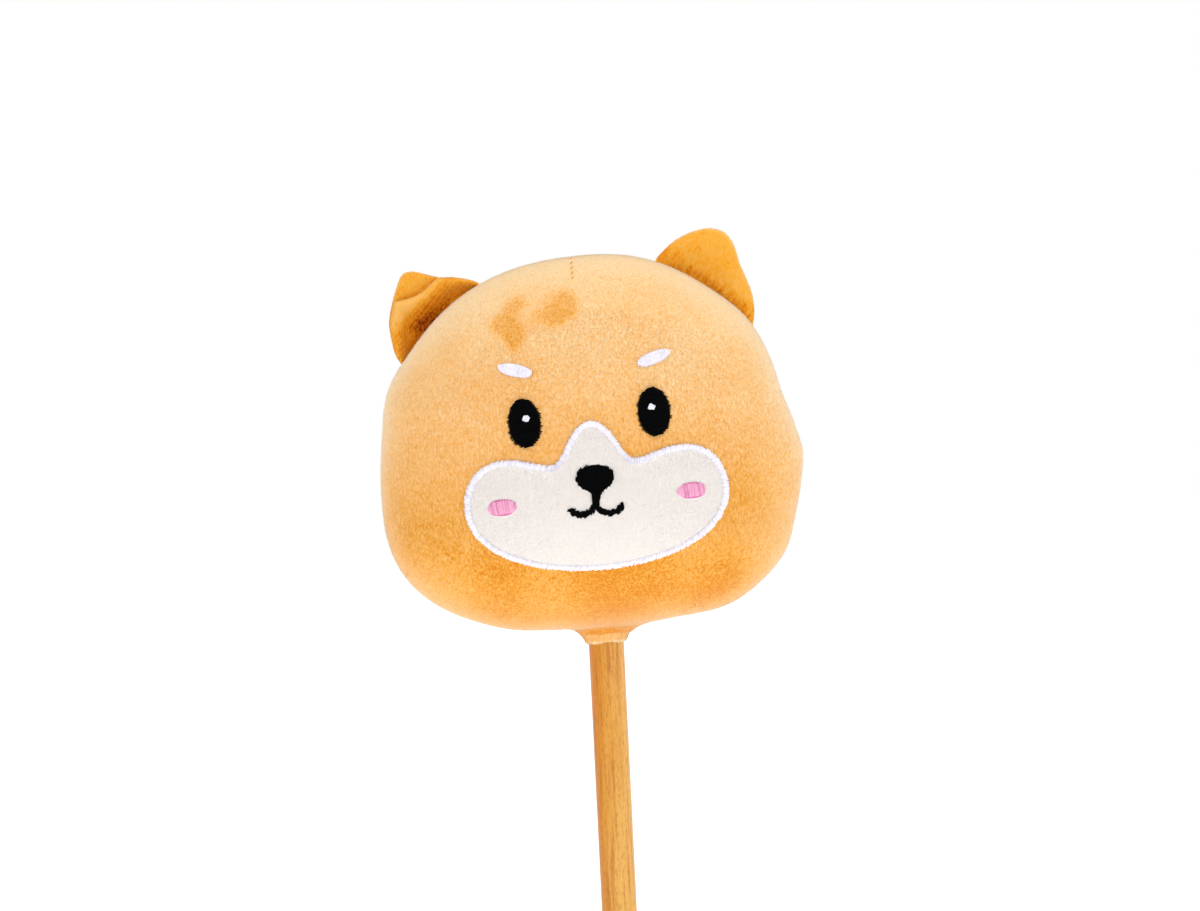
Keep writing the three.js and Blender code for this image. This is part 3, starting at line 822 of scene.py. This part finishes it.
def face_embroidery():
    on_cloth = CLOTH_LIFT + MUZZLE_PUFF
    upright = math.pi / 2
    pad("nose", NOSE, upright, on_cloth, 0.75, "black_satin", 0.8, BLACK_WIDTH)
    mouth()
    for side in ("left", "right"):
        eye, glint, brow, cheek = (f"{part}_{side}" for part in ("eye", "eye_glint", "brow", "cheek"))
        oval = ellipse(*ellipse_of(eye))
        pad(eye, oval, 0.2, 0.5, 0.9, "black_satin", 0.75, BLACK_WIDTH)
        middle, reach, _ = ellipse_of(glint)
        pad(glint, ellipse(middle, reach * 0.98, 0), 1.1, 1.5, 0.35, "white_satin", 0.4)
        turn = ellipse_of(brow)[2]
        oval = ellipse(*ellipse_of(brow), square=2.3)
        pad(brow, oval, turn + upright, 0.5, 0.7, "white_satin", 0.2)
        oval = ellipse(*ellipse_of(cheek), square=2.5)
        pad(cheek, oval, upright + 0.1, on_cloth - 0.2, 0.35, "pink_satin", 0.4)


# ---- The head's plush panels ----

PANEL_ROWS = 72
PLUSH_THICKNESS = 1.2


def blob(x, z, middle, reach, turn):
    x, z = x - middle[0], z - middle[1]
    across = x * math.cos(turn) + z * math.sin(turn)
    along = z * math.cos(turn) - x * math.sin(turn)
    return np.exp(-((across / reach[0]) ** 2 + (along / reach[1]) ** 2))


def brushed(x, z):
    """Where fingers have brushed the forehead's pile the other way."""
    spots = (
        ((-19.0, 113.7), (4.6, 3.4), 0.3, 0.8),
        ((-22.5, 110.0), (3.6, 3.6), 0.3, 0.4),
        ((-25.4, 107.2), (4.4, 3.6), 0.2, 0.85),
        ((-21.0, 104.4), (4.8, 3.4), -0.2, 0.95),
        ((-21.3, 100.6), (2.8, 4.0), 0.0, 0.95),
        ((-13.0, 108.8), (5.0, 2.4), 0.4, 0.45),
        ((-6.8, 107.4), (5.6, 3.4), 0.3, 0.95),
        ((-2.2, 110.6), (3.8, 3.8), 0.0, 0.85),
        ((-2.2, 114.8), (4.2, 3.4), -0.5, 0.65),
        ((-8.0, 113.6), (4.8, 3.6), 0.3, 0.5),
    )
    total = sum(weight * blob(x, z, middle, reach, turn) for middle, reach, turn, weight in spots)
    return smooth(total, 0.14, 1.05)


def head_nap(points, side):
    """How deep the plush's colour is: painted light pales the crown and the cloth towards the seam, painted
    shade deepens it under the chin, round the neck and along the crown's dart; brushed patches and a slow
    drift vary its tone.
    """
    x, z = points[..., 0], points[..., 2]
    height = (z - BOTTOM) / (TOP - BOTTOM)
    # Painted light and shade: paler towards the crown, deeper towards the chin.
    base = 0.92 - 0.76 * smooth(height, -0.1, 1.0)
    drift = 0.06 * np.sin(x / 9.0 + z / 21.0) * np.sin(z / 12.0 - x / 17.0) * (1.6 - height)
    depth = FACE_DEPTH if side < 0 else BACK_DEPTH
    at_neck = hump(np.hypot(x, points[..., 1]), 18) * smooth(BOTTOM + 20 - z, 0, 10)
    # Painted highlight: paler where the cloth turns towards the seam, except by the neck.
    rim_highlight = 0.36 * smooth(-np.abs(points[..., 1]) / depth, -0.6, -0.1) * (1 - at_neck)
    marks = 0.48 * brushed(x, z) if side < 0 else 0
    # Painted shade along the groove of the crown's dart.
    dart = 0.3 * hump(x, 0.45) * smooth(z, TOP - 12, TOP - 9) if side < 0 else 0
    # Painted shade round the neck; the cloth is also a little paler towards the +X side.
    return np.clip(base + drift + marks + dart - rim_highlight + 0.2 * at_neck - 0.1 * smooth(x, 25, 65), 0, 1)


def plush_panel(name, side, first_angle, last_angle, columns, strands):
    """One panel of the head with its pile; the face is a whole dome and each back panel half of one."""
    whole = abs(last_angle - first_angle) > 6
    share = np.sin(np.linspace(0, 1, PANEL_ROWS + 1) * math.pi / 2)
    angle = np.linspace(first_angle, last_angle, columns + 1)
    shares, angles = np.meshgrid(share, angle, indexing="ij")
    grid = head_points(side, shares, angles)
    skin, points = dish(name, grid, disc_place(shares, angles), whole, side > 0)
    mark(skin, nap=head_nap(points, side), tip=SKIN_TIP, strand=0.5)
    thicken(skin, PLUSH_THICKNESS)
    finished(skin, "head_plush", "head")
    head_pile(f"{name}_pile", side, grid, shares, angles, strands)
    return skin


def head_pile(name, side, grid, shares, angles, strands):
    normals = grid_normals(grid)
    outward = grid - [0, 0, WIDEST]
    normals = np.where(np.sum(normals * outward, -1, keepdims=True) < 0, -normals, normals)
    row, column = scatter(grid, strands)
    roots = sample(grid, row, column)
    facing = unit(sample(normals, row, column))
    clear = np.hypot(roots[:, 0], roots[:, 1]) > np.where(roots[:, 2] < BOTTOM + 4, FUNNEL_RADIUS - 1.5, 0)
    if side < 0:
        flat = roots[:, [0, 2]]
        clear &= ~inside(MUZZLE, flat)
        for node in ("eye_left", "eye_right", "brow_left", "brow_right"):
            middle, reach, turn = ellipse_of(node)
            clear &= ~inside(ellipse(middle, reach + 0.1, turn, 40), flat)
        clear &= ~((np.abs(roots[:, 0]) < 0.45) & (roots[:, 2] > TOP - 10.5))
    row, column, roots, facing = row[clear], column[clear], roots[clear], facing[clear]
    x, z = roots[:, 0], roots[:, 2]
    swirl = 0.35 * np.sin(x / 14.0 + z / 23.0) + 0.2 * np.sin(z / 8.0 - x / 19.0)
    turned = brushed(x, z) if side < 0 else np.zeros(len(x))
    comb = downwards(facing, side) * (1 - 1.2 * turned)[:, None]
    comb[:, 0] += swirl + 1.1 * turned
    share = sample(shares, row, column)
    at_seam = smooth(share, 0.6, 0.92)[:, None]
    outwards = unit(np.stack([x, np.zeros(len(x)), z - WIDEST], -1)) + [0, -1.5 * side, 0]
    comb = comb * (1 - at_seam) + outwards * at_seam
    places = disc_place(share, sample(angles, row, column))
    fuzz = pile(name, roots, facing, comb, head_nap(roots, side), places, length=0.85, rise=0.4)
    finished(fuzz, "head_plush", "head")


def head_panels():
    face = plush_panel("head_face", -1, 0, 2 * math.pi, 224, FACE_STRANDS)
    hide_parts("face_panel", "stuffing")
    for side, first in (("right", -math.pi / 2), ("left", math.pi / 2)):
        panel = plush_panel(f"head_back_{side}", 1, first, first + math.pi, 112, BACK_STRANDS)
        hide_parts(f"back_panel_{side}")


# ---- Ears ----


def ear_frame(side):
    """An ear's middle on the seam and its two directions, from its fold joint in the record."""
    joint = JOINTS[f"ear_{side}_fold"]
    hinge = (np.array(joint["pos_m"]) / MM - NECK) @ HEAD_AXES.T
    axis = np.array(joint["axis"]) @ HEAD_AXES.T
    along = axis if side == "right" else -axis
    outwards = np.array([-axis[2], 0, axis[0]])
    return hinge, along, outwards


HINGE_RISE = 2.6
EAR_ROOT = 4.0
EAR_COLUMNS = 120
EAR_ROWS = 90
UPRIGHT_EDGE = [
    (18.6, -6.5), (16.7, -2.4), (14.3, 1.0), (10.8, 4.3), (6.6, 7.0), (2.2, 9.6), (-1.2, 12.2),
    (-4.8, 14.4), (-9.0, 15.1), (-13.6, 13.2), (-17.4, 9.0), (-20.3, 3.4), (-21.6, -2.4), (-21.9, -6.8),
]
CRUMPLED_EDGE = [
    (20.4, -7.0), (20.0, -4.2), (19.0, -1.2), (15.8, 3.8), (12.6, 7.6), (7.5, 11.0), (2.3, 13.8),
    (-2.0, 15.2), (-4.9, 13.7), (-7.0, 10.6), (-9.8, 5.8), (-13.0, 2.4), (-16.4, -2.4), (-18.4, -7.2),
]


def seam_height(along, hinge, outwards):
    """The head's seam as the ear sees it, below its hinge line."""
    reach = np.hypot(hinge[0], hinge[2] - WIDEST)
    middle = math.atan2(hinge[2] - WIDEST, hinge[0])
    sign = 1 if hinge[0] > 0 else -1
    angle = middle - sign * along / reach
    radius = outline_radius(angle)
    x = radius * np.cos(angle) - hinge[0]
    z = WIDEST + radius * np.sin(angle) - hinge[2]
    return x * outwards[0] + z * outwards[2]


def ridge_height(along):
    """Where the crumpled ear's roll is highest, above its hinge."""
    return 5.4 + 0.03 * np.maximum(0.0, along + 6) ** 2


def upright_profile():
    """A section from front to back over the tip: each knot is a share of the height, and a depth."""
    front = [(0, -1.6), (0.16, -1.5), (0.3, -2.6), (0.55, -3.2), (0.8, -2.5), (0.95, -1.2), (1.0, 0)]
    back = [(0.95, 1.2), (0.8, 2.5), (0.5, 3.2), (0.2, 2.4), (0, 1.6)]
    return curve(front + back, EAR_ROWS).T


def crumpled_profile(ridge):
    """A roll along the root, a ridge, a crease behind it, and the tip."""
    front = [
        (0, -0.8), (0.2 * ridge + 0.06, -0.6), (0.42 * ridge + 0.05, -2.4), (0.66 * ridge + 0.03, -5.6),
        (0.88 * ridge, -6.8), (ridge, -5.6), (ridge + 0.02, -3.4), (ridge + 0.01, -1.6),
        (0.65 * ridge + 0.35, -1.9), (0.3 * ridge + 0.7, -1.9), (0.97, -0.9), (1.0, 0),
    ]
    back = [(0.96, 1.0), (0.8, 1.8), (0.5, 2.4), (0.2, 2.2), (0, 1.6)]
    return curve(front + back, EAR_ROWS).T


def ear(side):
    hinge, along_axis, outwards = ear_frame(side)
    edge = curve(UPRIGHT_EDGE if side == "right" else CRUMPLED_EDGE, EAR_COLUMNS)
    base_along = np.linspace(edge[0, 0], edge[-1, 0], EAR_COLUMNS)
    base = np.stack([base_along, seam_height(base_along, hinge, outwards) - EAR_ROOT], -1)
    end = np.linspace(-1, 1, EAR_COLUMNS)
    swell = (1 - np.abs(end) ** 3.0) ** 0.55
    lines = []
    for column in range(EAR_COLUMNS):
        if side == "right":
            share, depth = upright_profile()
            gather = 0.25 * math.sin(base_along[column] * 2.1) * hump(share - 0.25, 0.12)
            depth = depth + np.sign(depth) * gather
        else:
            reach = edge[column, 1] - base[column, 1]
            ridge = np.clip((ridge_height(edge[column, 0]) - base[column, 1]) / reach, 0.4, 0.93)
            share, depth = crumpled_profile(ridge)
        flat = base[column] + (edge[column] - base[column]) * share[:, None]
        lines.append(np.column_stack([flat, depth * max(swell[column], 0.04)]))
    lines = np.array(lines)
    grid = hinge + lines[..., :1] * along_axis + lines[..., 1:2] * outwards + lines[..., 2:] * [0, 1, 0]
    return grid.transpose(1, 0, 2), lines.transpose(1, 0, 2), hinge, outwards


def ear_nap(side, along, height, depth):
    """How deep an ear's colour is, painted light and shade: painted shade where it is gathered into the
    seam, in its creases and hollow and along the roll's small wrinkles, and a painted highlight along the
    crumpled ear's ridge and round its edges.
    """
    front = smooth(-depth, -0.5, 0.5)
    # Painted shade at the root on the front, and a painted highlight round the edges.
    root = smooth(1.5 - height, -1.0, 4.0) * front
    rim_highlight = 0.36 * smooth(1.6 - np.abs(depth), 0, 1.4) * smooth(height, -3.0, 3.0)
    if side == "right":
        folds = 0.5 + 0.5 * np.sin(along * 2.7 + 2 * np.sin(along * 0.8))
        # Painted shade in the folds of the gathers by the seam.
        gathers = folds * smooth(1.6 - height, 0, 2.5) * front
        return np.clip(0.36 + 0.1 * root + 0.14 * gathers - rim_highlight, 0, 1)
    middle = hump(along - 3.0, 8.0)
    # Painted highlight along the ridge; painted shade in stripes along the roll, in the hollow against the
    # head and in the crease behind the ridge.
    roll = smooth(-depth, 0.8, 3.0)
    ridge = smooth(-depth, 4.4, 6.4) * smooth(height, 2.5, 6.0)
    wrinkles = 0.11 * np.sin(height * 4.8 + 0.35 * along) * roll
    hollow = smooth(6.0 - height, 0, 6.5) * (0.1 + 0.9 * middle)
    behind = smooth(ridge_height(along) + 3.0 - height, 0, 3.0) * (1 - roll) * front
    deeper = 0.42 * hollow * front - 0.3 * ridge
    return np.clip(0.42 + deeper + wrinkles + 0.16 * behind - rim_highlight * (1 - roll), 0, 1)


def ear_piece(side):
    grid, lines, hinge, outwards = ear(side)
    rows, columns = grid.shape[:2]
    index = np.arange(rows * columns).reshape(rows, columns)
    loop = np.vstack([index, index[:1]])
    walls = np.stack([loop[:-1, :-1], loop[:-1, 1:], loop[1:, 1:], loop[1:, :-1]], -1).reshape(-1, 4)
    faces = [walls, index[None, :, 0], index[None, ::-1, -1]]
    normals = grid_normals(grid)
    if side == "right":
        faces = [face[:, ::-1] for face in faces]
        normals = -normals
    skin = build(f"ear_{side}_plush", grid.reshape(-1, 3), *faces)
    nap = ear_nap(side, *np.moveaxis(lines, -1, 0))
    u = np.linspace(0.02, 0.98, columns)
    v = np.linspace(0.02, 0.98, rows)
    flat = np.stack(np.meshgrid(u, v), -1)
    lay_flat(skin, flat.reshape(-1, 2))
    mark(skin, nap=nap, tip=SKIN_TIP)
    row, column = scatter(grid, EAR_STRANDS)
    place = sample(lines, row, column)
    clear = place[:, 1] > -HINGE_RISE - 3
    row, column = row[clear], column[clear]
    comb = np.tile(outwards, (len(row), 1))
    fuzz = pile_over(f"ear_{side}_pile", (grid, normals, nap, flat), row, column, comb, 0.8)
    for piece in (skin, fuzz):
        finished(piece, "ear_plush")
        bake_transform(piece)
    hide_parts(f"ear_{side}_front", f"ear_{side}_back")


# ---- Neck ----

LIP_HEIGHT = -1.9


def collar():
    """The plush gathered round the dowel: a short funnel with a soft, uneven lip."""
    columns = 144
    outer_rows = 24
    angle = np.linspace(0, 2 * math.pi, columns + 1)
    knots = [
        (FUNNEL_RADIUS + 0.6, 3.0), (FUNNEL_RADIUS - 0.1, 1.2), (FUNNEL_RADIUS - 1.0, -0.3),
        (DOWEL_RADIUS + 0.95, LIP_HEIGHT + 0.5), (DOWEL_RADIUS + 0.55, LIP_HEIGHT),
        (DOWEL_RADIUS + 0.3, LIP_HEIGHT + 0.5), (DOWEL_RADIUS + 0.35, 0.5), (DOWEL_RADIUS + 0.6, 3.0),
    ]
    radius, height = curve(knots, 40).T
    low = smooth(1.5 - height, 0, 3)[:, None]
    fold = 0.16 * np.cos(17 * angle + 1.5 * np.sin(2 * angle)) + 0.1 * np.cos(29 * angle + 2)
    outside = smooth(radius[:, None] - DOWEL_RADIUS, 0.3, 1.0)
    reach = radius[:, None] + fold * low * outside
    dip = 0.3 * hump(turn_from(-math.pi / 2, angle), 0.8)
    sag = height[:, None] + (dip + 0.18 * np.cos(5 * angle + 1)) * low
    grid = round_axis(reach, angle, sag)
    rows = len(radius)
    skin = build("neck_collar_plush", grid[:, :-1].reshape(-1, 3), grid_faces(rows, columns, True)[:, ::-1])
    share = 0.16 + 0.3 * np.linspace(0, 1, rows)[:, None]
    flat = 0.5 + round_axis(share, angle, 0)[..., :2]
    lay_flat(skin, flat[:, :-1].reshape(-1, 2))
    band = LIP_HEIGHT + 0.8 + 0.8 * np.sin(angle / 2 + math.pi / 4) ** 2
    nap = 0.5 - 0.42 * smooth(band - grid[..., 2], -0.4, 0.4)
    mark(skin, nap=nap[:, :-1], tip=SKIN_TIP)
    normals = -grid_normals(grid)
    row, column = scatter(grid[:outer_rows], COLLAR_STRANDS)
    roots = sample(grid, row, column)
    comb = np.stack([-0.2 * roots[:, 0] / 8, -0.2 * roots[:, 1] / 8, np.full(len(roots), -1.0)], -1)
    fuzz = pile_over("neck_collar_pile", (grid, normals, nap, flat), row, column, comb, 0.75)
    for piece in (skin, fuzz):
        finished(piece, "head_plush")
        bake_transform(piece)
    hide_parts("neck_collar")


def one_thread(name, path, diameter, outwards, place=to_row):
    centres = np.asarray(path, float)[None]
    radii = np.full((1, len(path)), diameter / 2)
    points, walls, ends = tubes(centres, np.asarray(outwards, float)[None], radii, 8)
    piece = build(name, points, walls, ends, place=place)
    mark(piece, strand=0.75)
    return piece


def as_is(points):
    return points


def neck_thread():
    low, high = row_box("neck_thread")
    diameter = 0.5
    room_to_tilt = 1.0
    top = high[2] - room_to_tilt
    turns = (top - low[2]) / diameter - 1
    angle = np.linspace(0, 2 * math.pi * turns, 220)
    radius = high[0] - diameter / 2
    wobble = 0.04 * np.sin(5.3 * angle)
    height = low[2] + diameter / 2 + (top - low[2] - diameter) * angle / angle[-1] + wobble
    path = round_axis(radius, angle, height)
    piece = one_thread("neck_thread_winding", path, diameter, path * [1, 1, 0] / radius, as_is)
    finished(piece, "sewing_thread", "stick", "neck_thread")


def closing_thread():
    """The hand stitches that close the back, from side to side over its middle seam."""
    low, high = node_box("closing_thread")
    turns = 14
    fine = np.linspace(0, turns, turns * 14 + 1)
    x = (high[0] - 0.5) * np.sin(math.pi * (fine + 0.5))
    z = low[2] + (high[2] - low[2]) * fine / turns
    surface = head_point(x, z, 1)
    outward = np.tile([0.0, 1.0, 0.0], (len(x), 1))
    lift = 0.35 + 0.5 * (1 - (x / high[0]) ** 2)
    piece = one_thread("closing_thread_stitches", surface + outward * lift[:, None], 0.6, outward)
    finished(piece, "sewing_thread", "head", "closing_thread")


def dart_thread():
    low, high = node_box("dart_thread")
    count = 5
    z = np.linspace(low[2] + 0.8, high[2] - 0.8, count)
    starts = np.stack([np.full(count, -0.45), z - 0.5], -1)
    ends = np.stack([np.full(count, 0.45), z + 0.5], -1)
    # With no strand mark these stitches take the sewing thread's painted shadow colour, as painted shade in
    # the dart's groove.
    piece = join_parts("dart_thread_stitches", stitches(starts, ends, 0.0, 0.15, 0.5, 0.3))
    finished(piece, "sewing_thread", "head", "dart_thread")


# ---- The dowel ----


def dowel():
    """A turned stick: its ends are eased, and the grain stands up faintly under the varnish."""
    low, high = row_box("stick_dowel")
    columns = 128
    ease = 0.8
    rounding = np.linspace(0, math.pi / 2, 6)
    rise = ease * (1 - np.cos(rounding))
    end_radii = DOWEL_RADIUS - ease * (1 - np.sin(rounding))
    straight = np.linspace(low[2] + 2, high[2] - 2, 160)
    heights = np.concatenate([low[2] + rise, straight, (high[2] - rise)[::-1]])
    radii = np.concatenate([end_radii, np.full(len(straight), DOWEL_RADIUS), end_radii[::-1]])
    angle = np.arange(columns) / columns * 2 * math.pi
    drift = heights[:, None] / 60
    grain = np.sin(23 * angle + 2.2 * np.sin(drift)) + 0.7 * np.sin(41 * angle + 3 * np.sin(drift * 0.7 + 1))
    reach = radii[:, None] - 0.025 * np.abs(grain)
    points = round_axis(reach, angle, heights[:, None])
    caps = np.array([[0, 0, low[2]], [0, 0, high[2]]])
    count = len(heights) * columns
    walls = grid_faces(len(heights), columns, True)
    ring = np.arange(columns)
    nxt = np.roll(ring, -1)
    last = count - columns
    bottom = np.stack([np.full(columns, count), nxt, ring], -1)
    top = np.stack([np.full(columns, count + 1), last + ring, last + nxt], -1)
    points = np.concatenate([points.reshape(-1, 3), caps])
    piece = build("stick_dowel_wood", points, walls, bottom, top, place=as_is)
    # Painted light and shade: one side of the stick is paler and the other darker, the line between them
    # turning slowly along it.
    turn = angle + 0.5 + 0.3 * np.sin(heights[:, None] / 70)
    mark(piece, nap=np.append(0.5 - 0.4 * np.cos(turn), [0.5, 0.5]))
    finished(piece, "varnished_wood", "stick", "stick_dowel")


# ---- Studio ----

VIEW_WIDTH = 408.0
LENS = 100.0
SENSOR = 36.0
CAMERA_ROLL = math.radians(2.8)
AIM = np.array([0.96, 0.0, 289.4])


def camera():
    data = bpy.data.cameras.new("camera")
    data.lens = LENS
    data.sensor_width = SENSOR
    view = placed("camera", data)
    away = VIEW_WIDTH * LENS / SENSOR
    view.location = (AIM + [0, -away, 0]) * MM
    view.rotation_euler = (math.pi / 2, CAMERA_ROLL, 0)
    bpy.context.scene.camera = view


def area_light(name, place, aim, size, power):
    data = bpy.data.lights.new(name, "AREA")
    data.shape = "DISK"
    data.size = size
    data.energy = power
    light = placed(name, data)
    light.location = place
    direction = np.array(aim) - np.array(place)
    light.rotation_euler = Vector(direction).to_track_quat("-Z", "Y").to_euler()
    light.visible_camera = False


def studio():
    world = bpy.data.worlds.new("studio")
    bpy.context.scene.world = world
    world.use_nodes = True
    tree = world.node_tree
    background = tree.nodes["Background"]
    seen = tree.nodes.new("ShaderNodeBackground")
    for node, strength in ((background, 0.71), (seen, 1.0)):
        node.inputs["Color"].default_value = (1, 1, 1, 1)
        node.inputs["Strength"].default_value = strength
    path = tree.nodes.new("ShaderNodeLightPath")
    mix = tree.nodes.new("ShaderNodeMixShader")
    tree.links.new(path.outputs["Is Camera Ray"], mix.inputs[0])
    tree.links.new(background.outputs[0], mix.inputs[1])
    tree.links.new(seen.outputs[0], mix.inputs[2])
    tree.links.new(mix.outputs[0], tree.nodes["World Output"].inputs["Surface"])
    area_light("key", (1.0, -1.5, 1.7), (0, 0, 0.3), 1.2, 6)
    area_light("top", (0.2, -0.1, 1.9), (0, 0, 0.3), 1.4, 12)
    area_light("fill", (-1.2, -1.5, 0.9), (0, 0, 0.28), 1.2, 2.5)
    bpy.ops.mesh.primitive_circle_add(vertices=96, radius=12, fill_type="NGON")
    floor = bpy.context.object
    floor.name = "floor"
    ground = Finish("floor")
    paint = ground.ramp(ground.noise(0.7, 1.0), (0.3, (250, 250, 250)), (0.7, (253, 253, 253)))
    ground.tree.links.new(paint, ground.shader.inputs["Base Color"])
    ground.set(Roughness=0.9, Emission_Color=(1, 1, 1, 1), Emission_Strength=0.6)
    floor.data.materials.append(ground.material)
    bpy.context.scene.view_settings.view_transform = "Standard"


camera()
studio()
dowel()
neck_thread()
collar()
head_panels()
muzzle_patch()
muzzle_border()
face_embroidery()
closing_thread()
dart_thread()
ear_piece("right")
ear_piece("left")
